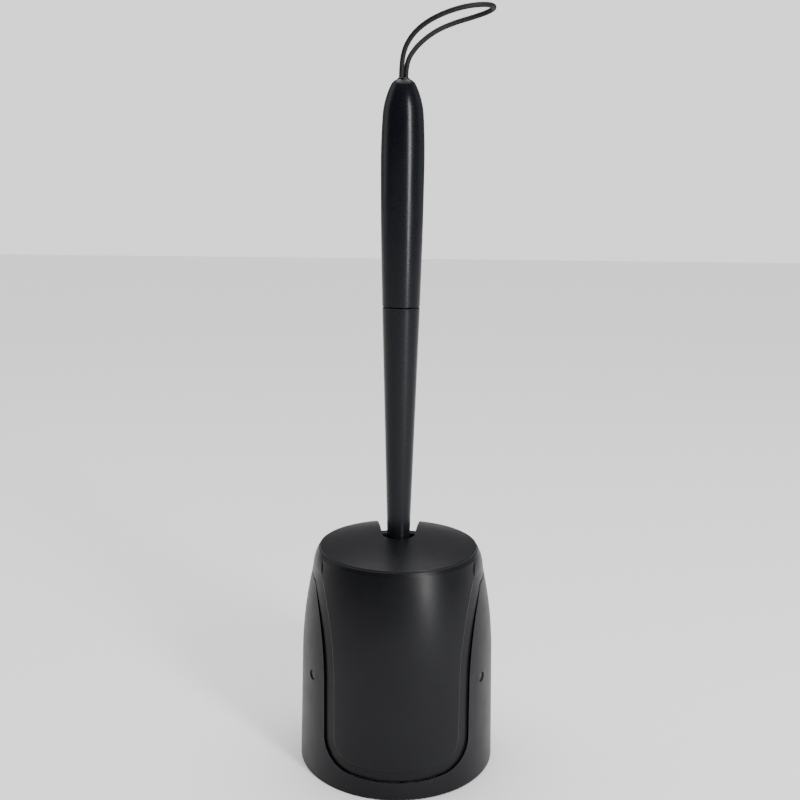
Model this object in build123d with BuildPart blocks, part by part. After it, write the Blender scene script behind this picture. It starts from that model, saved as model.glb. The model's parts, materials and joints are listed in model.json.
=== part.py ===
"""Toilet brush holder: a round canister with a tipping lid, and the brush that stands in it.

Millimetres, +Z up. The origin is the centre of the base, on the floor. The front is -Y.
Three bodies: the holder stands still, the lid tips forward about a hinge line along X, and
the brush lifts straight up. The lid is drawn closed, with the brush stored inside.
"""
from build123d import *
from math import atan2, cos, hypot, pi, radians, sin, sqrt, tan
import os

os.makedirs("parts", exist_ok=True)

# Canister outline: a nearly straight wall that curves in towards the lid's rim
BASE_R = 62.5
BEND_R, BEND_Z = 61.0, 72.0
RIM_R, RIM_Z = 50.4, 141.0
DOME_RISE = 6.0
SHELL_WALL = 2.4
LID_WALL = 3.0

# Mouth of the canister: a plane that falls towards the front
MOUTH_Z = 125.9
MOUTH_SLOPE = 0.135
RIM_ROUND, LID_RIM_ROUND, FOOT_ROUND = 0.7, 0.6, 0.8

# Hinge line, along X, and its pins
HINGE_Y, HINGE_Z = -31.2, 66.0
PIN_R = 3.0
PIN_PRESS = 0.03
PIN_SUNK = 0.8
PIN_RUNNING = 0.08
EAR_IN, EAR_OUT = 41.3, 43.8
EAR_R = 5.0
BOSS_R = 6.0

# Front opening that the lid's panel fills
OPEN_HALF = 44.4
CORNER_R = 23.0
CORNER_START = 36.0
CORNER_TURN = radians(70.7)
FLARE_Z, FLARE_TOP_HALF, FLARE_TOP_Z = 67.0, 53.2, 130.0
SEAM = 0.6
BAND, BAND_SUNK = 5.6, 1.4
PANEL_PROUD, PANEL_ROUND = 0.3, 1.55
FADE_Z, PANEL_TOP = 129.0, 134.0

# Lid's shoulder, between the fade and the upright edge of its domed cap
SHOULDER, SHOULDER_TOP = (52.9, 134.6), (50.4, 139.9)
CAP_R, CAP_FOOT_Z = 49.9, 140.1

# Slot in the lid for the brush's rod
SLOT_R = 10.4
SLOT_Y = 2.4
SLOT_MOUTH, SLOT_CORNER = (14.0, 44.6), (17.4, 47.4)

# Inner cup, egg-shaped in plan, and the tray under it
CUP_SIDE, CUP_FRONT = 50.0, 45.0
CUP_WALL = 1.8
WINDOW_Z, WINDOW_Y, WINDOW_ROUND = 60.0, 4.0, 12.0
PLATE_Z, PLATE_T = 1.0, 1.6
PLATE_FRONT = -28.0
TRAY_R, TRAY_T, TRAY_H, TRAY_STEP_Y, TRAY_FRONT = 57.0, 1.4, 5.4, -4.0, -22.0
REST_R, REST_TOP = 9.0, 7.6
PAD_R, PAD_X, PAD_Y = 7.0, 34.0, 18.0

# Frame inside the lid, and its screws
FRAME_T, FRAME_HALF, EAR_REACH = 1.8, 14.0, 12.0
SCREW_AZIMUTHS, SCREW_RISE = (-24, 24), 8.0
SCREW_R, SCREW_LEN, SCREW_HEAD_R, SCREW_HEAD_T = 1.1, 3.2, 2.2, 1.2

# Brush: rod and bell, head, handle
ROD_R, ROD_FOOT_Z, JOINT_R, JOINT_Z = 7.0, 142.0, 11.5, 292.0
JOINT_GAP = 0.4
BELL_FOOT = (24.0, 120.9)
FLANGE_R, FLANGE_Z, FLANGE_RIM = 34.0, 114.0, 4.6
NECK_R, COLLAR_R, COLLAR_TOP = 15.0, 18.7, 110.4
HEAD_TOP, HEAD_LOW = 107.0, 8.0
CORE_R, SLEEVE_R, SLEEVE_LOW = 14.0, 19.5, 16.0
CORE_LOW = 20.0
CORE_ROUND, SLEEVE_ROUND, BRISTLE_ROUND = 8.0, 12.0, 25.0
BRISTLE_R, BRISTLE_DROP = 42.5, 1.0
STUD_R, STUD_LOW, STUD_TOP = 4.0, 70.0, 131.0
BORE_R, BORE_LOW_R, SPIGOT_BORE = 7.6, 4.6, 4.5
SPIGOT_LEN = 20.0
JOINT_CHAMFER = 0.4
GRIP_MIDDLE, GRIP_WIDEST = (12.45, 332.0), (13.0, 376.0)
GRIP_SHOULDER, GRIP_NOSE, GRIP_TIP = (12.2, 404.0), (7.5, 421.6), (4.3, 424.7)
ANCHOR_R, ANCHOR_T = 6.0, 6.0
GRIP_SHOULDER_Z = 412.0
FERRULE_R, FERRULE_TOP = 3.7, 425.6
CORD_D = 3.0

# The outline's arc: it leaves the straight wall without a kink and ends at the rim
lean = atan2(BASE_R - BEND_R, BEND_Z)
chord = (RIM_R - BEND_R, RIM_Z - BEND_Z)
arc_r = (chord[0] ** 2 + chord[1] ** 2) / (-2 * (chord[0] * cos(lean) + chord[1] * sin(lean)))
arc_centre = (BEND_R - arc_r * cos(lean), BEND_Z - arc_r * sin(lean))


def outline_r(z, inset=0.0):
    """Radius of the canister's outline at height z, moved inwards by inset."""
    if z <= BEND_Z:
        return BASE_R - z * tan(lean) - inset / cos(lean)
    return arc_centre[0] + sqrt((arc_r - inset) ** 2 - (z - arc_centre[1]) ** 2)


def panel_r(z):
    """Radius of the raised panel, which stands a little proud of the outline."""
    return outline_r(z) + PANEL_PROUD


def band_r(z):
    """Radius of the sunk band: BAND_SUNK inside the outline, meeting the panel at FADE_Z."""
    fade = min(1.0, max(0.0, (z - BEND_Z) / (FADE_Z - BEND_Z))) ** 2
    return panel_r(z) - (BAND_SUNK + PANEL_PROUD) * (1 - fade)


def on_panel(point):
    """True for a point on the raised panel's face, below its top."""
    return point.Z < PANEL_TOP - 0.5 and abs(hypot(point.X, point.Y) - panel_r(point.Z)) < 0.02


def turned(radius_at, low, *stations, crown=None):
    """Half section between the axis and a radius, from height low up to the last station.

    One arc runs from the bend to each station. The top is flat, or domed up to height crown.
    """
    with BuildSketch(Plane.XZ) as section:
        with BuildLine():
            Polyline((0, low), (radius_at(low), low), (radius_at(BEND_Z), BEND_Z))
            for start, end in zip((BEND_Z,) + stations, stations):
                ThreePointArc(*((radius_at(z), z) for z in (start, (start + end) / 2, end)))
            if crown is None:
                Polyline((radius_at(end), end), (0, end), (0, low))
            else:
                RadiusArc((radius_at(end), end), (0, crown), crown_radius(radius_at(end), crown - end))
                Line((0, crown), (0, low))
        make_face()
    return section.sketch


def crown_radius(edge_r, rise):
    """Radius of a dome with this edge radius and rise, negative for RadiusArc's side."""
    return -(edge_r ** 2 + rise ** 2) / (2 * rise)


def opening_zone(gap, top):
    """Space of the lid's front, made smaller by gap.

    The lower part is turned about the hinge line, so the seam keeps its width as the lid tips.
    The upper part flares out to the mouth and runs straight back.
    """
    side = OPEN_HALF - gap
    corner_x = OPEN_HALF - CORNER_R
    crown_r = CORNER_R + corner_x / cos(CORNER_TURN)
    crown_z = CORNER_START - (crown_r - CORNER_R) * sin(CORNER_TURN)
    knee = (
        corner_x + (CORNER_R - gap) * cos(CORNER_TURN),
        CORNER_START + (CORNER_R - gap) * sin(CORNER_TURN),
    )
    with BuildPart() as zone:
        with BuildSketch(Plane((0, HINGE_Y, HINGE_Z), x_dir=(1, 0, 0), z_dir=(0, -1, 0))):
            with BuildLine():
                Polyline((0, 0), (side, 0), (side, CORNER_START))
                corner = TangentArc((side, CORNER_START), knee, tangent=(0, 1))
                TangentArc(knee, (0, crown_z + crown_r - gap), tangent=corner % 1)
                Line((0, crown_z + crown_r - gap), (0, 0))
            make_face()
            mirror(about=Plane.YZ)
        revolve(axis=Axis((0, HINGE_Y, HINGE_Z), (1, 0, 0)))
        with BuildSketch(Plane.XZ):
            with BuildLine():
                Polyline((0, HINGE_Z), (side, HINGE_Z), (side, FLARE_Z))
                TangentArc((side, FLARE_Z), (FLARE_TOP_HALF - gap, FLARE_TOP_Z), tangent=(0, 1))
                Polyline((FLARE_TOP_HALF - gap, FLARE_TOP_Z), (FLARE_TOP_HALF - gap, top), (0, top), (0, HINGE_Z))
            make_face()
            mirror(about=Plane.YZ)
        extrude(amount=BASE_R + 10)
    return zone.part


def above_mouth(gap):
    """Half space above the mouth plane, lifted by gap."""
    with BuildPart() as space:
        with BuildSketch(Plane((0, 0, MOUTH_Z + gap), x_dir=(1, 0, 0), z_dir=(0, -MOUTH_SLOPE, 1))):
            Rectangle(4 * BASE_R, 4 * BASE_R)
        extrude(amount=BASE_R)
    return space.part


def in_mouth_plane(edge):
    """True for an edge that lies in the mouth plane."""
    return all(abs((edge @ t).Z - MOUTH_Z - MOUTH_SLOPE * (edge @ t).Y) < 0.01 for t in (0, 0.3, 0.7, 1))


def side_plane(side, x):
    """Plane across the hinge line at distance x, facing outwards. Its x axis points forward."""
    return Plane((side * x, HINGE_Y, HINGE_Z), x_dir=(0, -1, 0), z_dir=(side, 0, 0))


def egg(shrink):
    """Plan of the inner cup: a half circle behind and a flatter half ellipse in front."""
    side, front = CUP_SIDE - shrink, CUP_FRONT - shrink
    with BuildSketch() as plan:
        with BuildLine():
            ThreePointArc((side, 0), (0, side), (-side, 0))
            EllipticalCenterArc((0, 0), side, front, start_angle=180, arc_size=180)
        make_face()
    return plan.sketch


# ---------------------------------------------------------------- holder body

# Pin bosses: the shell's inner side is thicker round each hinge pin
with BuildPart() as pin_bosses:
    for side in (-1, 1):
        with BuildSketch(side_plane(side, OPEN_HALF)):
            Circle(BOSS_R)
        extrude(amount=BASE_R)
    revolve(turned(lambda z: outline_r(z, SHELL_WALL / 2), 0, RIM_Z), axis=Axis.Z, mode=Mode.INTERSECT)

# Outer shell: one moulding, a tapering tube with a closed base plate behind the lid's swing
with BuildPart() as outer_shell:
    revolve(turned(outline_r, 0, RIM_Z), axis=Axis.Z)
    revolve(turned(lambda z: outline_r(z, SHELL_WALL), -1, RIM_Z + 1), axis=Axis.Z, mode=Mode.SUBTRACT)
    with BuildSketch(Plane.XY.offset(PLATE_Z)):
        Circle(outline_r(PLATE_Z, SHELL_WALL / 2))
        with Locations((0, PLATE_FRONT - BASE_R)):
            Rectangle(2 * BASE_R, 2 * BASE_R, mode=Mode.SUBTRACT)
    extrude(amount=PLATE_T)
    add(pin_bosses.part)
    for side in (-1, 1):
        with BuildSketch(side_plane(side, EAR_IN)):
            Circle(PIN_R + PIN_PRESS)
        extrude(amount=BASE_R, mode=Mode.SUBTRACT)
    add(opening_zone(0, RIM_Z + 10), mode=Mode.SUBTRACT)
    add(above_mouth(0), mode=Mode.SUBTRACT)
    fillet(outer_shell.edges().filter_by(lambda e: in_mouth_plane(e) and e.length > BASE_R), radius=RIM_ROUND)
    foot = outer_shell.edges().filter_by(GeomType.CIRCLE).group_by(Axis.Z)[0].sort_by(SortBy.RADIUS)[-1]
    fillet(foot, radius=FOOT_ROUND)
outer_shell.part.label = "outer_shell"
export_step(outer_shell.part, "parts/outer_shell.step")

# Hinge pins: pressed in the shell, their outer ends follow its surface
for name, side in (("hinge_pin_left", -1), ("hinge_pin_right", 1)):
    with BuildPart() as hinge_pin:
        with BuildSketch(side_plane(side, EAR_IN)):
            Circle(PIN_R)
        extrude(amount=BASE_R)
        revolve(turned(lambda z: outline_r(z, PIN_SUNK), 0, RIM_Z), axis=Axis.Z, mode=Mode.INTERSECT)
    hinge_pin.part.label = name
    export_step(hinge_pin.part, "parts/" + name + ".step")

# Inner cup: near-vertical wall, cut away low at the front where the lid's panel swings in
with BuildPart() as inner_cup:
    with BuildSketch(Plane.XY.offset(PLATE_Z + PLATE_T + TRAY_T)):
        add(egg(0))
        add(egg(CUP_WALL), mode=Mode.SUBTRACT)
    extrude(amount=RIM_Z)
    with BuildSketch(Plane.YZ):
        with Locations((WINDOW_Y - BASE_R, WINDOW_Z - BASE_R)):
            window = Rectangle(2 * BASE_R, 2 * BASE_R)
        fillet(window.vertices().group_by(Axis.X)[-1].sort_by(Axis.Y)[-1], radius=WINDOW_ROUND)
    extrude(amount=BASE_R, both=True, mode=Mode.SUBTRACT)
    add(above_mouth(0), mode=Mode.SUBTRACT)
    fillet(inner_cup.edges().filter_by(in_mouth_plane), radius=RIM_ROUND)
inner_cup.part.label = "inner_cup"
export_step(inner_cup.part, "parts/inner_cup.step")

# Drip tray: a dish on the base plate, low at the front, with a round rest for the brush head
tray_z = PLATE_Z + PLATE_T
with BuildPart() as drip_tray:
    for shrink, low, mode in ((0, 0, Mode.ADD), (TRAY_T, TRAY_T, Mode.SUBTRACT)):
        with BuildSketch(Plane.XY.offset(tray_z + low)):
            Circle(TRAY_R - shrink)
            with Locations((0, TRAY_FRONT + shrink - 2 * BASE_R)):
                Rectangle(4 * BASE_R, 4 * BASE_R, mode=Mode.SUBTRACT)
        extrude(amount=TRAY_H, mode=mode)
    with BuildSketch(Plane.XY.offset(tray_z + TRAY_T)):
        with Locations((0, TRAY_STEP_Y - BASE_R)):
            Rectangle(2 * CUP_SIDE, 2 * BASE_R)
    extrude(amount=TRAY_H, mode=Mode.SUBTRACT)
    with BuildSketch(Plane.XY.offset(tray_z)):
        Circle(REST_R)
    extrude(amount=REST_TOP - tray_z)
drip_tray.part.label = "drip_tray"
export_step(drip_tray.part, "parts/drip_tray.step")

# Foot pads: four thin non-slip discs under the base plate
with BuildPart() as foot_pads:
    with BuildSketch():
        with GridLocations(2 * PAD_X, 2 * PAD_Y, 2, 2):
            Circle(PAD_R)
    extrude(amount=PLATE_Z)
foot_pads.part.label = "foot_pads"
export_step(foot_pads.part, "parts/foot_pads.step")

# ------------------------------------------------------------------- lid body

# Frame screws: pan heads against the frame's inner face, shanks out into the hood
frame_inner_r = outline_r(HINGE_Z, LID_WALL + FRAME_T)
with BuildPart() as frame_screws:
    for azimuth in SCREW_AZIMUTHS:
        outward = Vector(sin(radians(azimuth)), -cos(radians(azimuth)), 0)
        for height in (HINGE_Z - SCREW_RISE, HINGE_Z + SCREW_RISE):
            seat = outward * (frame_inner_r - 0.05) + Vector(0, 0, height)
            with BuildSketch(Plane(seat, x_dir=(0, 0, 1), z_dir=outward)):
                Circle(SCREW_HEAD_R)
            extrude(amount=-SCREW_HEAD_T)
            with BuildSketch(Plane(seat, x_dir=(0, 0, 1), z_dir=outward)):
                Circle(SCREW_R)
            extrude(amount=SCREW_LEN)
frame_screws.part.label = "frame_screws"
export_step(frame_screws.part, "parts/frame_screws.step")

# Lid frame: a curved band behind the panel, with an ear at each end that turns on its pin
with BuildPart() as lid_frame:
    with BuildSketch(Plane.XY.offset(HINGE_Z - FRAME_HALF)):
        with Locations((0, -BASE_R / 2)):
            Rectangle(2 * EAR_OUT, BASE_R)
    extrude(amount=2 * FRAME_HALF)
    revolve(turned(lambda z: outline_r(z, LID_WALL), 0, RIM_Z), axis=Axis.Z, mode=Mode.INTERSECT)
    revolve(turned(lambda z: outline_r(z, LID_WALL + FRAME_T), -1, RIM_Z + 1), axis=Axis.Z, mode=Mode.SUBTRACT)
    for side in (-1, 1):
        with BuildSketch(side_plane(side, EAR_IN)):
            with BuildLine():
                Polyline((0, EAR_R), (EAR_REACH, FRAME_HALF), (EAR_REACH, -FRAME_HALF), (0, -EAR_R), close=True)
            make_face()
            Circle(EAR_R)
        extrude(amount=EAR_OUT - EAR_IN)
    for side in (-1, 1):
        with BuildSketch(side_plane(side, EAR_IN - 1)):
            Circle(PIN_R + PIN_RUNNING)
        extrude(amount=BASE_R, mode=Mode.SUBTRACT)
    revolve(turned(lambda z: outline_r(z, LID_WALL), 0, RIM_Z), axis=Axis.Z, mode=Mode.INTERSECT)
    add(frame_screws.part, mode=Mode.SUBTRACT)
lid_frame.part.label = "lid_frame"
export_step(lid_frame.part, "parts/lid_frame.step")

# Lid hood: domed top, skirt and front panel in one moulding, with a sunk band along the seam
with BuildPart() as lid_space:
    add(opening_zone(SEAM, RIM_Z + 10))
    add(above_mouth(SEAM))
with BuildPart() as raised_panel:
    revolve(turned(panel_r, -1, PANEL_TOP), axis=Axis.Z)
    add(opening_zone(SEAM + BAND, RIM_Z + 10), mode=Mode.INTERSECT)
    panel_border = raised_panel.edges().filter_by(
        lambda e: on_panel(e @ 0.3) and on_panel(e @ 0.7) and abs(e.center().X) + abs(e.center().Z - BEND_Z) > 1
    )
    fillet(panel_border, radius=PANEL_ROUND)
with BuildPart() as front_trim:
    add(opening_zone(SEAM + BAND, RIM_Z))
    with BuildSketch(Plane.XY.offset(FADE_Z)):
        Rectangle(4 * BASE_R, 4 * BASE_R)
    extrude(amount=RIM_Z - FADE_Z, mode=Mode.INTERSECT)
    revolve(turned(panel_r, -1, RIM_Z), axis=Axis.Z, mode=Mode.SUBTRACT)
with BuildPart() as lid_hood:
    with BuildSketch(Plane.XZ):
        with BuildLine():
            Polyline((0, -1), (band_r(-1), -1), (band_r(BEND_Z), BEND_Z))
            ThreePointArc(*((band_r(z), z) for z in (BEND_Z, (BEND_Z + FADE_Z) / 2, FADE_Z)))
            ThreePointArc((band_r(FADE_Z), FADE_Z), SHOULDER, SHOULDER_TOP)
            Polyline(SHOULDER_TOP, (CAP_R, CAP_FOOT_Z), (CAP_R, RIM_Z))
            RadiusArc((CAP_R, RIM_Z), (0, RIM_Z + DOME_RISE), crown_radius(CAP_R, DOME_RISE))
            Line((0, RIM_Z + DOME_RISE), (0, -1))
        make_face()
    revolve(axis=Axis.Z)
    rim = lid_hood.edges().filter_by(GeomType.CIRCLE).filter_by(lambda e: abs(e.radius - CAP_R) < 0.1)
    fillet(rim.sort_by(Axis.Z)[-1], radius=LID_RIM_ROUND)
    add(front_trim.part, mode=Mode.SUBTRACT)
    add(raised_panel.part)
    add(lid_space.part, mode=Mode.INTERSECT)
    revolve(turned(lambda z: outline_r(z, LID_WALL), -2, RIM_Z - LID_WALL, crown=RIM_Z + DOME_RISE - LID_WALL),
            axis=Axis.Z, mode=Mode.SUBTRACT)
    with BuildSketch(Plane.XY.offset(FLARE_Z)):
        with BuildLine():
            Line((0, SLOT_Y - SLOT_R), (0, BASE_R))
            ThreePointArc((0, SLOT_Y - SLOT_R), (SLOT_R * cos(pi / 4), SLOT_Y - SLOT_R * sin(pi / 4)), (SLOT_R, SLOT_Y))
            flare = Line((SLOT_R, SLOT_Y), SLOT_MOUTH)
            TangentArc(SLOT_MOUTH, SLOT_CORNER, tangent=flare % 1)
            Polyline(SLOT_CORNER, (SLOT_CORNER[0], BASE_R), (0, BASE_R))
        make_face()
        mirror(about=Plane.YZ)
    extrude(amount=RIM_Z, mode=Mode.SUBTRACT)
    add(frame_screws.part, mode=Mode.SUBTRACT)
lid_hood.part.label = "lid_hood"
export_step(lid_hood.part, "parts/lid_hood.step")

# ----------------------------------------------------------------- brush body

# Handle rod: lower rod and bell-shaped splash guard in one moulding
with BuildPart() as handle_rod:
    with BuildSketch(Plane.XZ):
        with BuildLine():
            taper = Line((JOINT_R, JOINT_Z - JOINT_GAP / 2), (ROD_R, ROD_FOOT_Z))
            bell = TangentArc((ROD_R, ROD_FOOT_Z), BELL_FOOT, tangent=taper % 1)
            brim = TangentArc(BELL_FOOT, (FLANGE_R - 1.6, FLANGE_Z + FLANGE_RIM), tangent=bell % 1)
            ThreePointArc(
                (FLANGE_R - 1.6, FLANGE_Z + FLANGE_RIM),
                (FLANGE_R, FLANGE_Z + FLANGE_RIM / 2),
                (FLANGE_R - 1.8, FLANGE_Z),
            )
            Polyline(
                (FLANGE_R - 1.8, FLANGE_Z), (STUD_R, FLANGE_Z), (STUD_R, STUD_TOP), (0, STUD_TOP),
                (0, ROD_FOOT_Z), (BORE_LOW_R, ROD_FOOT_Z), (BORE_R, JOINT_Z - SPIGOT_LEN),
                (BORE_R, JOINT_Z - JOINT_GAP / 2), (JOINT_R, JOINT_Z - JOINT_GAP / 2),
            )
        make_face()
    revolve(axis=Axis.Z)
    chamfer(handle_rod.edges().filter_by(GeomType.CIRCLE).group_by(Axis.Z)[-1].sort_by(SortBy.RADIUS)[-1],
            length=JOINT_CHAMFER)
handle_rod.part.label = "handle_rod"
export_step(handle_rod.part, "parts/handle_rod.step")

# Joint spigot: plug pressed into both bores at the seam
with BuildPart() as joint_spigot:
    with BuildSketch(Plane.XY.offset(JOINT_Z - SPIGOT_LEN)):
        Circle(BORE_R)
        Circle(SPIGOT_BORE, mode=Mode.SUBTRACT)
    extrude(amount=2 * SPIGOT_LEN)
joint_spigot.part.label = "joint_spigot"
export_step(joint_spigot.part, "parts/joint_spigot.step")

# Handle grip: hollow, swelling to its widest and ending in a bullet tip
with BuildPart() as handle_grip:
    with BuildSketch(Plane.XZ):
        with BuildLine():
            Polyline(
                (FERRULE_R, GRIP_TIP[1]), (FERRULE_R, GRIP_SHOULDER_Z), (BORE_R, GRIP_SHOULDER_Z),
                (BORE_R, JOINT_Z + JOINT_GAP / 2), (JOINT_R, JOINT_Z + JOINT_GAP / 2),
            )
            swell = ThreePointArc((JOINT_R, JOINT_Z + JOINT_GAP / 2), GRIP_MIDDLE, GRIP_WIDEST)
            top = TangentArc(GRIP_WIDEST, GRIP_SHOULDER, tangent=swell % 1)
            bullet = TangentArc(GRIP_SHOULDER, GRIP_NOSE, tangent=top % 1)
            TangentArc(GRIP_NOSE, GRIP_TIP, tangent=bullet % 1)
            Line(GRIP_TIP, (FERRULE_R, GRIP_TIP[1]))
        make_face()
    revolve(axis=Axis.Z)
    chamfer(handle_grip.edges().filter_by(GeomType.CIRCLE).group_by(Axis.Z)[0].sort_by(SortBy.RADIUS)[-1],
            length=JOINT_CHAMFER)
handle_grip.part.label = "handle_grip"
export_step(handle_grip.part, "parts/handle_grip.step")

# Cord anchor: plug under the grip's shoulder that the cord is tied to
with BuildPart() as cord_anchor:
    with BuildSketch(Plane.XY.offset(GRIP_SHOULDER_Z)):
        Circle(ANCHOR_R)
    extrude(amount=-ANCHOR_T)
    fillet(cord_anchor.edges().group_by(Axis.Z)[0], radius=1.5)
cord_anchor.part.label = "cord_anchor"
export_step(cord_anchor.part, "parts/cord_anchor.step")

# Cord ferrule: sleeve in the tip of the grip that both strands come out of
with BuildPart() as cord_ferrule:
    with BuildSketch(Plane.XY.offset(GRIP_SHOULDER_Z)):
        Circle(FERRULE_R)
    extrude(amount=FERRULE_TOP - GRIP_SHOULDER_Z)
    chamfer(cord_ferrule.edges().group_by(Axis.Z)[-1], length=0.4)
cord_ferrule.part.label = "cord_ferrule"
export_step(cord_ferrule.part, "parts/cord_ferrule.step")

# Hanging cord: one loop of round cord that stands up from the ferrule and leans to +X.
# Points are across, deep and up from the middle of the ferrule's top.
CORD_ROUTE = (
    (-1.3, -1.1, 0.0), (-1.3, -1.1, 8.2), (0.6, -3.2, 17.0), (5.8, -6.4, 24.6), (13.8, -9.8, 30.4),
    (23.6, -12.6, 34.6), (34.0, -13.4, 37.6), (43.6, -11.3, 39.2), (50.2, -5.6, 39.9),
    (52.3, 2.4, 39.7), (48.8, 9.8, 38.6), (40.6, 13.6, 36.4), (30.4, 13.5, 33.4),
    (20.6, 11.3, 29.2), (12.4, 8.0, 23.4), (5.2, 4.3, 15.8), (1.3, 1.1, 7.6), (1.3, 1.1, 0.0),
)
corners = [Vector(x, y, z + FERRULE_TOP) for x, y, z in CORD_ROUTE]
radii = []
for before, here, after in zip(corners, corners[1:], corners[2:]):
    half_turn = radians((here - before).get_angle(after - here)) / 2
    radii.append(0.45 * min((here - before).length, (after - here).length) / tan(half_turn))
print("cord arcs, mm:", [round(radius, 1) for radius in radii])
with BuildPart() as hang_cord:
    with BuildLine() as cord_line:
        FilletPolyline(*corners, radius=radii)
    with BuildSketch(Plane(corners[0], z_dir=cord_line.line % 0)):
        Circle(CORD_D / 2)
    sweep()
cord_length = sum(edge.length for edge in cord_line.edges())
cord_volume = pi * (CORD_D / 2) ** 2 * cord_length
print("cord length", round(cord_length, 1), "volume ratio", round(hang_cord.part.volume / cord_volume, 4))
hang_cord.part.label = "hang_cord"
export_step(hang_cord.part, "parts/hang_cord.step")

# Head collar: neck and ring between the splash guard and the brush head
with BuildPart() as head_collar:
    with BuildSketch(Plane.XZ):
        with BuildLine():
            Polyline(
                (STUD_R, HEAD_TOP), (COLLAR_R, HEAD_TOP), (COLLAR_R, COLLAR_TOP), (NECK_R, COLLAR_TOP),
                (NECK_R, FLANGE_Z), (STUD_R, FLANGE_Z), close=True,
            )
        make_face()
    revolve(axis=Axis.Z)
    fillet(head_collar.edges().filter_by(GeomType.CIRCLE).filter_by(lambda e: e.radius > COLLAR_R - 0.1),
           radius=1.2)
head_collar.part.label = "head_collar"
export_step(head_collar.part, "parts/head_collar.step")

# Head stud: joins rod, collar and core
with BuildPart() as head_stud:
    with BuildSketch(Plane.XY.offset(STUD_LOW)):
        Circle(STUD_R)
    extrude(amount=STUD_TOP - STUD_LOW)
    chamfer(head_stud.edges().filter_by(GeomType.CIRCLE), length=0.8)
head_stud.part.label = "head_stud"
export_step(head_stud.part, "parts/head_stud.step")


def head_section(radius, low, corner):
    """Half section of a round-bottomed plug from height low up to the head's top."""
    with BuildSketch(Plane.XZ) as section:
        with BuildLine():
            Polyline((0, low), (0, HEAD_TOP), (radius, HEAD_TOP), (radius, low + corner))
            TangentArc((radius, low + corner), (radius - corner, low), tangent=(0, -1))
            Line((radius - corner, low), (0, low))
        make_face()
    return section.sketch


# Head core: rigid plug that the rubber sleeve fits over
with BuildPart() as head_core:
    revolve(head_section(CORE_R, CORE_LOW, CORE_ROUND), axis=Axis.Z)
    with BuildSketch(Plane.XY.offset(STUD_LOW)):
        Circle(STUD_R)
    extrude(amount=HEAD_TOP - STUD_LOW, mode=Mode.SUBTRACT)
head_core.part.label = "head_core"
export_step(head_core.part, "parts/head_core.step")

# Bristle sleeve: closed rubber sleeve over the core
with BuildPart() as bristle_sleeve:
    revolve(head_section(SLEEVE_R, SLEEVE_LOW, SLEEVE_ROUND), axis=Axis.Z)
    revolve(head_section(CORE_R, CORE_LOW, CORE_ROUND), axis=Axis.Z, mode=Mode.SUBTRACT)
bristle_sleeve.part.label = "bristle_sleeve"
export_step(bristle_sleeve.part, "parts/bristle_sleeve.step")

# Bristles: envelope of all the bristles, rounded at the bottom
with BuildPart() as bristles:
    revolve(head_section(BRISTLE_R, HEAD_LOW, BRISTLE_ROUND), axis=Axis.Z)
    revolve(head_section(SLEEVE_R, SLEEVE_LOW, SLEEVE_ROUND), axis=Axis.Z, mode=Mode.SUBTRACT)
    with BuildSketch(Plane.XY.offset(HEAD_TOP - BRISTLE_DROP)):
        Circle(BASE_R)
    extrude(amount=BASE_R, mode=Mode.SUBTRACT)
bristles.part.label = "bristles"
export_step(bristles.part, "parts/bristles.step")
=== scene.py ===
import json
import math

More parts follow.
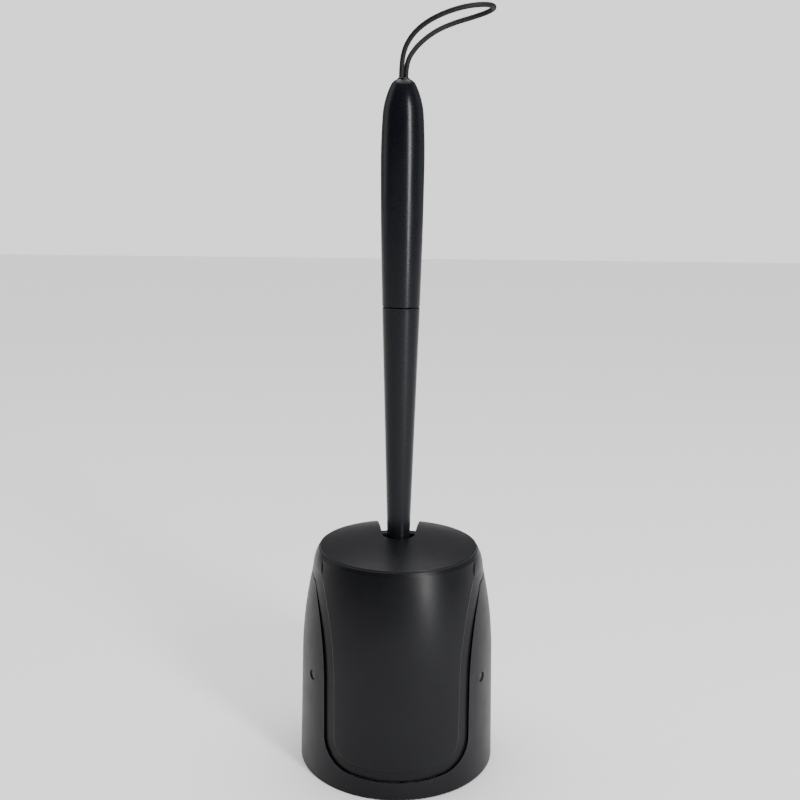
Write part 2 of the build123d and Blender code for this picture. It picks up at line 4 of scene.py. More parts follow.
import bmesh
import bpy
from mathutils import Euler, Vector
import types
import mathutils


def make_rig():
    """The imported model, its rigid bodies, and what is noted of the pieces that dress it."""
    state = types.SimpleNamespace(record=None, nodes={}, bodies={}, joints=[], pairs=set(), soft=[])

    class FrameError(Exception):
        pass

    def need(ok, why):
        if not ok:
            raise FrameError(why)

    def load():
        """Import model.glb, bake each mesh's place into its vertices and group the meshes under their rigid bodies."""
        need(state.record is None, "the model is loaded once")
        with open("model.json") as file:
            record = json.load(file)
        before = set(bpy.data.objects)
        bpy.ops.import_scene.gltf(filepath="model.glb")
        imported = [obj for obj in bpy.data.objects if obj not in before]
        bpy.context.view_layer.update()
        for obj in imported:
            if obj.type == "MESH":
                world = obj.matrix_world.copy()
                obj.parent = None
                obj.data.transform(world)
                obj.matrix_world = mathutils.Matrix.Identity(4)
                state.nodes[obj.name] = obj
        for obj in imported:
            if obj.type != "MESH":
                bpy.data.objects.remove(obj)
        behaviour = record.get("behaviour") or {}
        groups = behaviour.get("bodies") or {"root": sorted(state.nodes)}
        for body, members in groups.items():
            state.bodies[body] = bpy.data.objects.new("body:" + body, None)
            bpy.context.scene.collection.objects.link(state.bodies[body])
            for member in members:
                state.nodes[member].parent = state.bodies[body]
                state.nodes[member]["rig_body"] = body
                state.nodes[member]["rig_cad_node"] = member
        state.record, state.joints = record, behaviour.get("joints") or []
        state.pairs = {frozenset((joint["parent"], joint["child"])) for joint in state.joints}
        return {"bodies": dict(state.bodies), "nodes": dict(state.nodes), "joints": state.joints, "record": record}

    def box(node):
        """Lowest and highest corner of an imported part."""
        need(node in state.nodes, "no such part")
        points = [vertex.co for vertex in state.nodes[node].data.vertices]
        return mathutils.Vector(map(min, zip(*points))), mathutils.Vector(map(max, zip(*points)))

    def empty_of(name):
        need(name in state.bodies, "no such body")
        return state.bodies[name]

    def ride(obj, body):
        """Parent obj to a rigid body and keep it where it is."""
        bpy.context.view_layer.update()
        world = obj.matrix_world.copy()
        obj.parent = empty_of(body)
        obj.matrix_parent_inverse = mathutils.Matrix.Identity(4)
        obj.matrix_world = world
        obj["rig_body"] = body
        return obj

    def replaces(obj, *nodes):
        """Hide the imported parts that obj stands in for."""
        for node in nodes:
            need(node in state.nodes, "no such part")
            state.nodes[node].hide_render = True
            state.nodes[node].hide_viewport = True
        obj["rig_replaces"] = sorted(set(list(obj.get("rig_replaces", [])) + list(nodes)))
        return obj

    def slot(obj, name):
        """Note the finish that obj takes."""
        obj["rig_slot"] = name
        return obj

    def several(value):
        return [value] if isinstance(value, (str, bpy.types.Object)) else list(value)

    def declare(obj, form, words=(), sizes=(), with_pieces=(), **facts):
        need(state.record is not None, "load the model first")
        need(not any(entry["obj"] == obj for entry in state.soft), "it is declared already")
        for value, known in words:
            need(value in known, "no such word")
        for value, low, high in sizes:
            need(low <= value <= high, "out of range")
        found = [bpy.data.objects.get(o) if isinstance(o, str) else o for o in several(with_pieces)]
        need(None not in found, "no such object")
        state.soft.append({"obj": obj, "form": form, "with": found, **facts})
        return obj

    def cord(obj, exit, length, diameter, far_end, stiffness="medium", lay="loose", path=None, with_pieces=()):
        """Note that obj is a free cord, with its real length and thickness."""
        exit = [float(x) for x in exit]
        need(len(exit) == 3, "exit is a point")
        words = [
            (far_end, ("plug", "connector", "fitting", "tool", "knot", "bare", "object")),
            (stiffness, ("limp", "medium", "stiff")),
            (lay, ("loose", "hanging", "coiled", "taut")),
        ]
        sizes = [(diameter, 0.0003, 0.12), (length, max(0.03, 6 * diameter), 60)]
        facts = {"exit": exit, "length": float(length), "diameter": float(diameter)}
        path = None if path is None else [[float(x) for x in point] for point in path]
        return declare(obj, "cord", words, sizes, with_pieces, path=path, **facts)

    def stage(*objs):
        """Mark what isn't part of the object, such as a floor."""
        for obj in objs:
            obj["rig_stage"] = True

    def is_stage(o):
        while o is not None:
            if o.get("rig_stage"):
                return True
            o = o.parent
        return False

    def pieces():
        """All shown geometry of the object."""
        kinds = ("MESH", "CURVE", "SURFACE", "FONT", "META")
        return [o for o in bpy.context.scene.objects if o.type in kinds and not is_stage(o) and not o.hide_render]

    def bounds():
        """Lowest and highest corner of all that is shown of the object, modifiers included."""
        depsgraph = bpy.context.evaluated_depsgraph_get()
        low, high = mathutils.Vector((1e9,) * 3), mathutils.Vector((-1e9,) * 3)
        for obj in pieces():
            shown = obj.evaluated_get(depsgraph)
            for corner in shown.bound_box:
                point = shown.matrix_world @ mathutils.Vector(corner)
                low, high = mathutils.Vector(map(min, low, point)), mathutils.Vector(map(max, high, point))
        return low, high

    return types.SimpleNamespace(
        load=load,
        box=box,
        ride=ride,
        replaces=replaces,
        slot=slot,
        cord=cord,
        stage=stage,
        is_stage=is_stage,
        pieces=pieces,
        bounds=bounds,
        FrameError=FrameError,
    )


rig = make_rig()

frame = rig.load()
cad_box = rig.bounds()


# Outer shell: the round canister that stands on the floor, moulded in one shot of charcoal polypropylene.
# The tool is spark-eroded, which leaves a fine satin grain, and the foot is scuffed a little by the floor.
# Its pieces of colour, grain and wear are the pattern for every other moulding below.
class Flow:
    """A value on its way through a material. Sums on it add Math nodes; node() adds any other node."""

    def __init__(self, tree, socket=None):
        self.tree, self.socket = tree, socket

    def node(self, kind, settings=None, sockets=None, output=0):
        made = self.tree.nodes.new(kind)
        for key, value in (settings or {}).items():
            setattr(made, key, value)
        for key, value in (sockets or {}).items():
            if isinstance(value, Flow):
                self.tree.links.new(value.socket, made.inputs[key])
            else:
                made.inputs[key].default_value = value
        return Flow(self.tree, made.outputs[output])

    def maths(self, operation, first, second=0.0):
        return self.node("ShaderNodeMath", {"operation": operation}, {0: first, 1: second})

    def __add__(self, other):
        return self.maths("ADD", self, other)

    def __sub__(self, other):
        return self.maths("SUBTRACT", self, other)

    def __rsub__(self, other):
        return self.maths("SUBTRACT", other, self)

    def __mul__(self, other):
        return self.maths("MULTIPLY", self, other)

    __radd__, __rmul__ = __add__, __mul__

    def between(self, low, high):
        """0 below low, 1 above high, and a smooth step from one to the other."""
        return self.node("ShaderNodeMapRange", {"interpolation_type": "SMOOTHSTEP"},
                         {"Value": self, "From Min": low, "From Max": high})

    def blend(self, low, high):
        """The colour low where this is 0 and high where it is 1."""
        ends = {0: self, 6: with_alpha(low), 7: with_alpha(high)}
        return self.node("ShaderNodeMix", {"data_type": "RGBA"}, ends, 2)


def with_alpha(value):
    return value if isinstance(value, Flow) else (*value, 1.0)


def blank(name):
    """A new material, the start of its flow and its main shader."""
    material = bpy.data.materials.new(name)
    material.use_nodes = True
    return material, Flow(material.node_tree), material.node_tree.nodes["Principled BSDF"]


def feed(shader, **values):
    """Link or set the shader's sockets, named with _ for a space."""
    for key, value in values.items():
        socket = shader.inputs[key.replace("_", " ")]
        if isinstance(value, Flow):
            value.tree.links.new(value.socket, socket)
        else:
            socket.default_value = value


def cloud(flow, place, size, detail):
    """Soft noise from 0 to 1 with lumps about as large as size, in metres."""
    return flow.node("ShaderNodeTexNoise", {}, {"Vector": place, "Scale": 1 / size, "Detail": detail})


PIGMENT_SIZE, POLISH_SIZE = 0.030, 0.011
GRAIN_SHARE, ROUGHNESS_SPREAD = 0.35, 0.10
PLASTIC_SHEEN = 0.18


def moulded(name, dark, light, rough, grain=0.0007, depth=0.00003, wear_and_sheen=None):
    """Moulded plastic: uneven pigment, a fine grain, and a mask that makes it paler and duller: wear, and on the lid's
    dome a painted sheen.
    """
    material, flow, shader = blank(name)
    place = flow.node("ShaderNodeTexCoord", output="Object")
    pigment = cloud(flow, place, PIGMENT_SIZE, 3.0)
    fine = cloud(flow, place, grain, 3.0)
    polish = cloud(flow, place, POLISH_SIZE, 2.0)
    colour = (pigment * (1 - GRAIN_SHARE) + fine * GRAIN_SHARE).between(0.3, 0.7).blend(dark, light)
    roughness = rough + (polish - 0.5) * ROUGHNESS_SPREAD + (fine - 0.5) * ROUGHNESS_SPREAD
    if wear_and_sheen:
        # The mask is wear on most mouldings and a painted sheen on the lid's dome.
        worn_and_sheen = wear_and_sheen(flow, place)
        colour = worn_and_sheen.blend(colour, [1.9 * c + 0.006 for c in light])
        roughness = roughness + worn_and_sheen * 0.12
    bump = flow.node("ShaderNodeBump", {}, {"Strength": 0.6, "Distance": depth, "Height": fine})
    feed(shader, Base_Color=colour, Roughness=roughness, Normal=bump, Specular_IOR_Level=PLASTIC_SHEEN)
    return material


def show(material, *names):
    """Give CAD nodes their finish."""
    for name in names:
        for holder in frame["nodes"][name].material_slots:
            holder.material = material


def along(flow, place, axis):
    """One coordinate of a place, X, Y or Z."""
    return flow.node("ShaderNodeSeparateXYZ", {}, {0: place}, axis)


SCUFFED_FROM, SCUFFED_TO, SCUFF_SIZE = 0.0002, 0.0024, 0.0016


def foot_scuffs(flow, place):
    foot = 1 - along(flow, place, "Z").between(SCUFFED_FROM, SCUFFED_TO)
    return foot * cloud(flow, place, SCUFF_SIZE, 4.0).between(0.48, 0.62) * 0.55


show(moulded("canister_plastic", (0.0046, 0.0044, 0.0060), (0.0068, 0.0065, 0.0086), 0.40, wear_and_sheen=foot_scuffs),
     "outer_shell")


# Foot pads: four discs of soft black rubber pressed into the base, so that the canister doesn't slide.
# Rubber is duller than the plastic, and dust stays in its pebbled face.
def dusty_rubber(name, base, dust_and_sheen, pebble, depth):
    material, flow, shader = blank(name)
    place = flow.node("ShaderNodeTexCoord", output="Object")
    pebbles = flow.node("ShaderNodeTexVoronoi", {"feature": "SMOOTH_F1"},
                        {"Vector": place, "Scale": 1 / pebble})
    dusting = cloud(flow, place, 0.004, 4.0).between(0.45, 0.75) * 0.6
    bump = flow.node("ShaderNodeBump", {"invert": True},
                     {"Strength": 0.7, "Distance": depth, "Height": pebbles})
    feed(shader, Base_Color=dusting.blend(base, dust_and_sheen), Roughness=0.62 + dusting * 0.25, Normal=bump)
    return material


show(dusty_rubber("foot_rubber", (0.014, 0.014, 0.014), (0.045, 0.043, 0.040), 0.0011, 0.00008), "foot_pads")


# Inner cup and drip tray: the loose lining that holds the brush, moulded in a plainer, duller black.
# Drips dry on it, so the lower walls have faint chalky runs.
RUNS_FULL, RUNS_END, RUN_WIDTH = 0.02, 0.11, 0.006


def chalk_runs(flow, place):
    height = along(flow, place, "Z")
    stretched = flow.node("ShaderNodeVectorMath", {"operation": "MULTIPLY"}, {0: place, 1: (1.0, 1.0, 0.12)})
    low = 1 - height.between(RUNS_FULL, RUNS_END)
    return cloud(flow, stretched, RUN_WIDTH, 3.0).between(0.52, 0.78) * low * 0.22


lining = moulded("inner_plastic", (0.0060, 0.0060, 0.0068), (0.0090, 0.0090, 0.0100), 0.46, wear_and_sheen=chalk_runs)
show(lining, "inner_cup", "drip_tray")


# Lid: a hood with its front panel in one moulding, screwed to a frame that swings on two acetal pins.
# The hood is as dark as the canister and a little smoother. Its dome top has a painted sheen in paler patches and is a
# little duller.
DOME_FROM, DOME_TO, SHEEN_PATCH_SIZE = 0.139, 0.142, 0.0022


# Painted sheen: the dome top is painted paler in patches, as if lit from above, and made a little duller.
def dome_painted_sheen(flow, place):
    dust_and_sheen = cloud(flow, place, SHEEN_PATCH_SIZE, 4.0)
    return along(flow, place, "Z").between(DOME_FROM, DOME_TO) * dust_and_sheen.between(0.50, 0.70) * 0.18


show(moulded("lid_plastic", (0.0034, 0.0035, 0.0046), (0.0050, 0.0051, 0.0066), 0.35, wear_and_sheen=dome_painted_sheen),
     "lid_hood", "lid_frame")
show(moulded("pin_plastic", (0.0050, 0.0050, 0.0058), (0.0080, 0.0080, 0.0090), 0.28, 0.0004, 0.00001),
     "hinge_pin_left", "hinge_pin_right")


# Steel: four small screws hold the hood to its frame, and a stud joins the brush head to its rod.
# Both are bright zinc plate over steel, cloudy from the bath and dulled by damp.
def zinc_plate(name):
    material, flow, shader = blank(name)
    place = flow.node("ShaderNodeTexCoord", output="Object")
    clouding = cloud(flow, place, 0.0018, 3.0)
    turned = flow.node("ShaderNodeTexWave", {"wave_type": "RINGS", "rings_direction": "Z"},
                       {"Vector": place, "Scale": 900.0, "Distortion": 1.5})
    bump = flow.node("ShaderNodeBump", {}, {"Strength": 0.4, "Distance": 0.00002, "Height": turned})
    feed(shader, Base_Color=clouding.blend((0.42, 0.43, 0.44), (0.62, 0.63, 0.66)),
         Roughness=0.30 + clouding * 0.2, Metallic=1.0, Normal=bump)
    return material


show(zinc_plate("steel"), "frame_screws", "head_stud")


# Handle: a tapered rod and a fatter grip with a bullet end, turned to one smooth line and plugged together.
# Both are blue-black and glossier than the canister, because they are wiped and held.
def handling_marks(flow, place):
    return cloud(flow, place, 0.007, 3.0).between(0.55, 0.80) * 0.06


show(moulded("handle_plastic", (0.0032, 0.0038, 0.0056), (0.0046, 0.0053, 0.0074), 0.25, 0.0009, 0.000004,
             handling_marks),
     "handle_rod", "joint_spigot", "handle_grip", "cord_anchor")
show(moulded("head_plastic", (0.0050, 0.0052, 0.0062), (0.0078, 0.0080, 0.0092), 0.30, 0.0006, 0.00002),
     "head_collar", "head_core", "cord_ferrule")


# Hanging cord: a limp loop of black braid, both ends crimped in the ferrule at the top of the grip.
# The braid has eight yarns each way round a soft core, and it has taken the set of a long lean loop.
CORD_RADIUS = 0.0015
YARNS = 8
YARN_LIFT = 0.00016
BRAID_PITCH = 0.0072
AROUND, RING_STEP = 48, 0.0002
ROUTE_ORDER, ROUTE_FINENESS = 3, 16
ROUTE_MM = [
    (-1.3, -1.1, 0), (-1.3, -1.1, 8.2), (0.6, -3.2, 17), (5.8, -6.4, 24.6), (13.8, -9.8, 30.4),
    (23.6, -12.6, 34.6), (34, -13.4, 37.6), (43.6, -11.3, 39.2), (50.2, -5.6, 39.9), (52.3, 2.4, 39.7),
    (48.8, 9.8, 38.6), (40.6, 13.6, 36.4), (30.4, 13.5, 33.4), (20.6, 11.3, 29.2), (12.4, 8, 23.4),
    (5.2, 4.3, 15.8), (1.3, 1.1, 7.6), (1.3, 1.1, 0),
]

ferrule_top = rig.box("cord_ferrule")[1][2]
route_curve = bpy.data.curves.new("cord_route", "CURVE")
route_curve.dimensions = "3D"
route_spline = route_curve.splines.new("NURBS")
route_spline.points.add(len(ROUTE_MM) - 1)
for point, (x, y, z) in zip(route_spline.points, ROUTE_MM):
    point.co = (x / 1000, y / 1000, ferrule_top + z / 1000, 1.0)
route_spline.order_u, route_spline.use_endpoint_u = ROUTE_ORDER, True
route_spline.resolution_u = ROUTE_FINENESS
route = bpy.data.objects.new("cord_route", route_curve)
bpy.context.scene.collection.objects.link(route)
line_mesh = bpy.data.meshes.new_from_object(route)
line = [v.co.copy() for v in line_mesh.vertices]
bpy.data.objects.remove(route)
bpy.data.meshes.remove(line_mesh)


def evenly(points, step):
    """The same line as points a step apart."""
    lengths = [(b - a).length for a, b in zip(points, points[1:])]
    total = sum(lengths)
    count = round(total / step)
    result, i, passed = [points[0]], 0, 0.0
    for k in range(1, count):
        target = total * k / count
        while passed + lengths[i] < target:
            passed += lengths[i]
            i += 1
        result.append(points[i].lerp(points[i + 1], (target - passed) / lengths[i]))
    return result + [points[-1]], total


def yarn_height(turn, run):
    """How far the braid stands out of its core, from 0 to 1, at a turn round it and a run along it."""
    a, b = YARNS * (turn + run), YARNS * (turn - run)
    over = (math.floor(a) + math.floor(b)) % 2
    across, lengthwise = (b, a) if over else (a, b)
    crown = 1 - (2 * (across % 1) - 1) ** 2
    return crown ** 0.5 * (0.55 + 0.45 * math.sin(math.pi * (lengthwise % 1)))


middle, cord_length = evenly(line, RING_STEP)
bm = bmesh.new()
uv_layer = bm.loops.layers.uv.new("braid")
side = Vector((1, 0, 0))
rings = []
for k, centre in enumerate(middle):
    ahead = (middle[min(k + 1, len(middle) - 1)] - middle[max(k - 1, 0)]).normalized()
    side = (side - ahead * side.dot(ahead)).normalized()
    other = ahead.cross(side)
    run = cord_length * k / (len(middle) - 1) / BRAID_PITCH
    ring = []
    for n in range(AROUND):
        angle = 2 * math.pi * n / AROUND
        radius = CORD_RADIUS - YARN_LIFT * (1 - yarn_height(n / AROUND, run))
        ring.append(bm.verts.new(centre + (side * math.cos(angle) + other * math.sin(angle)) * radius))
    rings.append((ring, run))
for (low, run_low), (high, run_high) in zip(rings, rings[1:]):
    for n in range(AROUND):
        m = (n + 1) % AROUND
        face = bm.faces.new((low[n], low[m], high[m], high[n]))
        face.smooth = True
        corners = (n, run_low), (n + 1, run_low), (n + 1, run_high), (n, run_high)
        for loop, (turn, run) in zip(face.loops, corners):
            loop[uv_layer].uv = (turn / AROUND, run)
bm.faces.new(list(reversed(rings[0][0])))
bm.faces.new(rings[-1][0])
cord_mesh = bpy.data.meshes.new("cord_braid")
bm.to_mesh(cord_mesh)
bm.free()
cord = bpy.data.objects.new("cord_braid", cord_mesh)
bpy.context.scene.collection.objects.link(cord)

braid, flow, shader = blank("cord_fibre")
place = flow.node("ShaderNodeTexCoord", output="UV")
around, lengthwise = along(flow, place, "X"), along(flow, place, "Y")
yarn = flow.node("ShaderNodeTexWhiteNoise", {"noise_dimensions": "1D"},
                 {"W": flow.maths("FLOOR", (around + lengthwise) * YARNS)})
stretched = flow.node("ShaderNodeVectorMath", {"operation": "MULTIPLY"}, {0: place, 1: (60.0, 18.0, 1.0)})
fibres = flow.node("ShaderNodeTexNoise", {}, {"Vector": stretched, "Scale": 1.0, "Detail": 3.0})
tone = (yarn * 0.4 + fibres * 0.6).between(0.2, 0.8)
bump = flow.node("ShaderNodeBump", {}, {"Strength": 0.5, "Distance": 0.00004, "Height": fibres})
feed(shader, Base_Color=tone.blend((0.0022, 0.0022, 0.0025), (0.0060, 0.0060, 0.0064)),
     Roughness=0.50 + fibres * 0.22, Specular_IOR_Level=0.25, Normal=bump)
cord_mesh.materials.append(braid)
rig.replaces(cord, "hang_cord")
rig.slot(cord, "cord_fibre")
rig.ride(cord, "brush")
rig.cord(cord, exit=middle[0], length=0.16, diameter=0.003, far_end="object", stiffness="limp", lay="loose",
        path=middle[::4] + [middle[-1]])


# Bristles: soft rubber rods with rounded heads, moulded in one piece with the sleeve that carries them.
# They stand in staggered rows from the collar down and fan out round the sleeve's lower end.
PER_ROW, END_ROWS, END_FAN = 24, ((12, 0.0052), (5, 0.0021)), 2.1
ROW_PITCH = 0.0053
ROD_RADIUS = 0.00088
ROD_PROFILE = (
    (0.00, 1.45), (0.07, 1.05), (0.45, 0.92), (0.80, 0.92), (0.90, 1.18), (0.965, 1.12), (1.00, 0.60),
)
ROD_SIDES = 7
ROOT_SUNK = 0.0004
SLEEVE_CORNER, BRUSH_CORNER, CORNER_ROWS, CORNER_START = 0.012, 0.025, 6, 0.4
KEEP_IN = 0.0010
WANDER, LENGTH_SPREAD, SEED = 0.0007, 0.025, 7

sleeve_low, sleeve_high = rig.box("bristle_sleeve")
brush_low, brush_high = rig.box("bristles")
sleeve_r, brush_r = sleeve_high[0], brush_high[0] - KEEP_IN
sleeve_base, brush_base = sleeve_low[2], brush_low[2] + KEEP_IN


def rows_of_bristles():
    """Each row's root and reach in the plane of one rod, and how many rods stand in it."""
    straight = brush_low[2] + BRUSH_CORNER
    height = brush_high[2] - KEEP_IN - 1.2 * ROD_RADIUS
    while height > straight:
        yield (sleeve_r, height), (brush_r, height), PER_ROW
        height -= ROW_PITCH
    for k in range(CORNER_ROWS):
        slant = math.pi / 2 * (k + CORNER_START) / CORNER_ROWS
        inward, upward = 1 - math.cos(slant), 1 - math.sin(slant)
        root = (sleeve_r - SLEEVE_CORNER * inward, sleeve_base + SLEEVE_CORNER * upward)
        tip = (brush_r - BRUSH_CORNER * inward, brush_base + BRUSH_CORNER * upward)
        yield root, tip, PER_ROW
    for number, radius in END_ROWS:
        yield (radius, sleeve_base), (END_FAN * radius, brush_base), number


seeds = bpy.data.meshes.new("bristle_rows")
rows = list(rows_of_bristles())
seeds.from_pydata([(root[0] - ROOT_SUNK, 0, root[1]) for root, tip, number in rows], [], [])
reach = seeds.attributes.new("reach", "FLOAT_VECTOR", "POINT")
for entry, (root, tip, number) in zip(reach.data, rows):
    entry.vector = (tip[0] - root[0] + ROOT_SUNK, 0, tip[1] - root[1])
for name, values in (("number", [number for root, tip, number in rows]), ("order", range(len(rows)))):
    counted = seeds.attributes.new(name, "INT", "POINT")
    for entry, value in zip(counted.data, values):
        entry.value = value
bristles = bpy.data.objects.new("bristle_rods", seeds)
bpy.context.scene.collection.objects.link(bristles)

bm = bmesh.new()
lengthwise = bm.verts.layers.float.new("up_rod")
loops = []
for height, swell in ROD_PROFILE:
    ring = []
    for n in range(ROD_SIDES):
        angle = 2 * math.pi * n / ROD_SIDES
        radius = ROD_RADIUS * swell
        vert = bm.verts.new((radius * math.cos(angle), radius * math.sin(angle), height))
        vert[lengthwise] = height
        ring.append(vert)
    loops.append(ring)
for low, high in zip(loops, loops[1:]):
    for n in range(ROD_SIDES):
        m = (n + 1) % ROD_SIDES
        bm.faces.new((low[n], low[m], high[m], high[n]))
bm.faces.new(list(reversed(loops[0])))
bm.faces.new(loops[-1])
rod_mesh = bpy.data.meshes.new("one_rod")
bm.to_mesh(rod_mesh)
bm.free()
one_rod = bpy.data.objects.new("one_rod", rod_mesh)
bpy.context.scene.collection.objects.link(one_rod)

rubber, flow, shader = blank("bristle_rubber")
place = flow.node("ShaderNodeTexCoord", output="Object")
up_rod = flow.node("ShaderNodeAttribute", {"attribute_name": "up_rod"}, output="Fac")
mottle = cloud(flow, place, 0.0012, 3.0)
# The rounded tips are painted paler in mottled patches, a painted highlight where light reaches the heads, and are
# made duller there.
tip_painted_highlight = up_rod.between(0.86, 0.99) * (0.55 + mottle * 0.45)
bump = flow.node("ShaderNodeBump", {}, {"Strength": 0.5, "Distance": 0.00002, "Height": mottle})
feed(shader, Base_Color=tip_painted_highlight.blend((0.0050, 0.0050, 0.0056), (0.0300, 0.0295, 0.0300)),
     Roughness=0.42 + mottle * 0.12 + tip_painted_highlight * 0.12, Normal=bump)

tree = bpy.data.node_groups.new("bristle_rings", "GeometryNodeTree")
for name, kind in (("Geometry", "Geometry"), ("Rod", "Object"), ("Wander", "Float"),
                   ("Length spread", "Float"), ("Seed", "Int"), ("Rubber", "Material")):
    tree.interface.new_socket(name, in_out="INPUT", socket_type="NodeSocket" + kind)
tree.interface.new_socket("Geometry", in_out="OUTPUT", socket_type="NodeSocketGeometry")
given = tree.nodes.new("NodeGroupInput")


def step(kind, settings=None, sockets=None, output=0):
    """A geometry node, with its settings first and then its sockets' values or links."""
    made = tree.nodes.new(kind)
    for key, value in (settings or {}).items():
        setattr(made, key, value)
    for key, value in (sockets or {}).items():
        if isinstance(value, bpy.types.NodeSocket):
            tree.links.new(value, made.inputs[key])
        else:
            made.inputs[key].default_value = value
    return made.outputs[output]


def worked(operation, first, second):
    return step("ShaderNodeMath", {"operation": operation}, {0: first, 1: second})


def stored(name, kind):
    return step("GeometryNodeInputNamedAttribute", {"data_type": kind}, {"Name": name})


copies = tree.nodes.new("GeometryNodeDuplicateElements")
copies.domain = "POINT"
tree.links.new(given.outputs["Geometry"], copies.inputs["Geometry"])
tree.links.new(stored("number", "INT"), copies.inputs["Amount"])
stagger = worked("MULTIPLY", worked("MODULO", stored("order", "INT"), 2.0), 0.5)
place_in_row = worked("ADD", copies.outputs["Duplicate Index"], stagger)
angle = worked("MULTIPLY", worked("DIVIDE", place_in_row, stored("number", "INT")), 2 * math.pi)


def round_axis(vector):
    return step("ShaderNodeVectorRotate", {"rotation_type": "Z_AXIS"}, {"Vector": vector, "Angle": angle})


def cube_corner(side):
    return step("ShaderNodeCombineXYZ", {}, {0: side, 1: side, 2: side})


minus_wander = worked("MULTIPLY", given.outputs["Wander"], -1.0)
wander = step("FunctionNodeRandomValue", {"data_type": "FLOAT_VECTOR"},
              {"Min": cube_corner(minus_wander), "Max": cube_corner(given.outputs["Wander"]),
               "Seed": given.outputs["Seed"]})
straight_reach = round_axis(stored("reach", "FLOAT_VECTOR"))
leaning_reach = step("ShaderNodeVectorMath", {"operation": "ADD"}, {0: straight_reach, 1: wander})
full_length = step("ShaderNodeVectorMath", {"operation": "LENGTH"}, {0: straight_reach}, "Value")
shortest = worked("SUBTRACT", 1.0, given.outputs["Length spread"])
shortening = step("FunctionNodeRandomValue", {"data_type": "FLOAT"},
                  {2: shortest, 3: 1.0, "Seed": given.outputs["Seed"]}, 1)
rod_length = worked("MULTIPLY", full_length, shortening)
placed = step("GeometryNodeSetPosition", {}, {"Geometry": copies.outputs["Geometry"],
                                              "Position": round_axis(step("GeometryNodeInputPosition"))})
turned = step("FunctionNodeAlignRotationToVector", {"axis": "Z"}, {"Vector": leaning_reach})
rod = step("GeometryNodeObjectInfo", {}, {"Object": given.outputs["Rod"]}, "Geometry")
rods = step("GeometryNodeInstanceOnPoints", {}, {
    "Points": placed, "Instance": rod, "Rotation": turned,
    "Scale": step("ShaderNodeCombineXYZ", {}, {0: 1.0, 1: 1.0, 2: rod_length})})
solid = step("GeometryNodeRealizeInstances", {}, {"Geometry": rods})
smooth = step("GeometryNodeSetShadeSmooth", {}, {"Geometry": solid})
painted = step("GeometryNodeSetMaterial", {}, {"Geometry": smooth, "Material": given.outputs["Rubber"]})
result = tree.nodes.new("NodeGroupOutput")
tree.links.new(painted, result.inputs["Geometry"])

grow = bristles.modifiers.new("rings", "NODES")
grow.node_group = tree
inputs = {item.name: item.identifier for item in tree.interface.items_tree if item.in_out == "INPUT"}
for name, value in (("Rod", one_rod), ("Wander", WANDER), ("Length spread", LENGTH_SPREAD), ("Seed", SEED),
                    ("Rubber", rubber)):
    grow[inputs[name]] = value
bpy.context.view_layer.update()
grown = bpy.data.meshes.new_from_object(bristles.evaluated_get(bpy.context.evaluated_depsgraph_get()))
bristles.modifiers.clear()
bristles.data = grown
bpy.data.objects.remove(one_rod)
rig.replaces(bristles, "bristles")
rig.slot(bristles, "bristle_rubber")
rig.ride(bristles, "brush")
show(rubber, "bristle_sleeve")


# Studio: the holder stands on a plain pale floor that runs out of sight.
# A tall softbox stands to the right of the camera, a broad lamp shines down, and two cards light the sides.
FLOOR_HALF, BACKDROP = 6.0, 1.5
SKY_LOW, SKY_SPAN = 0.03, 0.26
LAMP_POWER, LAMP_SPREAD, LAMP_TILT = 4.0, 70, -10
floor_mesh = bpy.data.meshes.new("floor")
corners = [(x * FLOOR_HALF, y * FLOOR_HALF, 0) for x, y in ((-1, -1), (1, -1), (1, 1), (-1, 1))]
floor_mesh.from_pydata(corners, [], [(0, 1, 2, 3)])
floor = bpy.data.objects.new("floor", floor_mesh)
bpy.context.scene.collection.objects.link(floor)
paper, flow, shader = blank("floor_paper")
feed(shader, Base_Color=(0.86, 0.86, 0.86, 1.0), Roughness=0.9)
floor_mesh.materials.append(paper)
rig.stage(floor)

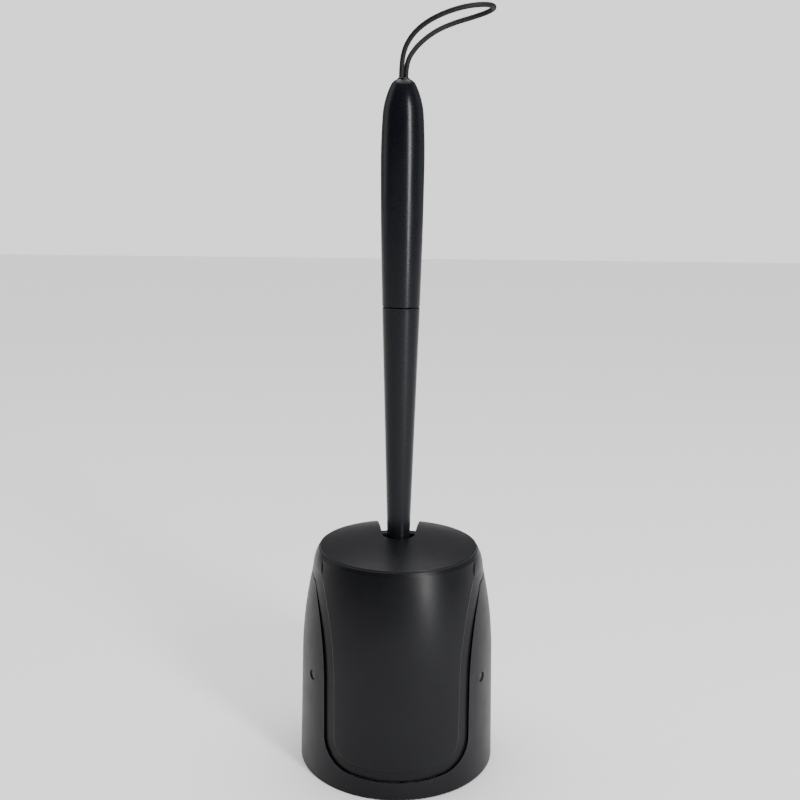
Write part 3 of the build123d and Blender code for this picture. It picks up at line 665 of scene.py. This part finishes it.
world = bpy.data.worlds.new("studio")
bpy.context.scene.world = world
world.use_nodes = True
flow = Flow(world.node_tree)
sky = along(flow, flow.node("ShaderNodeTexCoord", output="Generated"), "Y").between(-0.5, 0.5)
seen = flow.node("ShaderNodeLightPath", output="Is Camera Ray")
strength = flow.node("ShaderNodeMix", {"data_type": "FLOAT"},
                     {0: seen, 2: SKY_LOW + sky * SKY_SPAN, 3: BACKDROP})
feed(world.node_tree.nodes["Background"], Color=(0.98, 0.98, 1.0, 1.0), Strength=strength)

AIM = Vector((0, 0, 0.17))


def softbox(name, place, width, height, power):
    """A rectangle of even light that faces the middle of the holder."""
    lamp = bpy.data.lights.new(name, "AREA")
    lamp.shape, lamp.size, lamp.size_y, lamp.energy = "RECTANGLE", width, height, power
    holder = bpy.data.objects.new(name, lamp)
    holder.location = place
    holder.rotation_euler = (AIM - Vector(place)).to_track_quat("-Z", "Y").to_euler()
    bpy.context.scene.collection.objects.link(holder)


def stand(azimuth, distance, height):
    """A point that far from the holder's axis, azimuth degrees to the right of the front."""
    return (distance * math.sin(math.radians(azimuth)), -distance * math.cos(math.radians(azimuth)), height)


softbox("key_strip", stand(37, 1.5, 0.68), 0.26, 1.1, 32.0)
softbox("left_card", stand(-105, 1.2, 0.85), 0.7, 1.2, 2.8)
softbox("right_card", stand(105, 1.2, 0.85), 0.7, 1.2, 1.0)
sky_lamp = bpy.data.lights.new("overhead", "SUN")
sky_lamp.energy, sky_lamp.angle = LAMP_POWER, math.radians(LAMP_SPREAD)
overhead = bpy.data.objects.new("overhead", sky_lamp)
overhead.rotation_euler = (math.radians(LAMP_TILT), 0, 0)
bpy.context.scene.collection.objects.link(overhead)

CAMERA_PLACE, PITCH, ROLL, LENS = (0.0, -0.616, 0.354), 11.0, 0.65, 45.6
camera_data = bpy.data.cameras.new("camera")
camera_data.lens, camera_data.sensor_width = LENS, 36.0
camera = bpy.data.objects.new("camera", camera_data)
camera.location = CAMERA_PLACE
camera.rotation_euler = (Euler((math.radians(90 - PITCH), 0, 0)).to_quaternion()
                         @ Euler((0, 0, math.radians(ROLL))).to_quaternion()).to_euler()
bpy.context.scene.collection.objects.link(camera)
bpy.context.scene.camera = camera

with open("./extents.json", "w") as sizes:
    json.dump({"cad": [list(map(float, c)) for c in cad_box], "visual": [list(map(float, c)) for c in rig.bounds()]}, sizes)
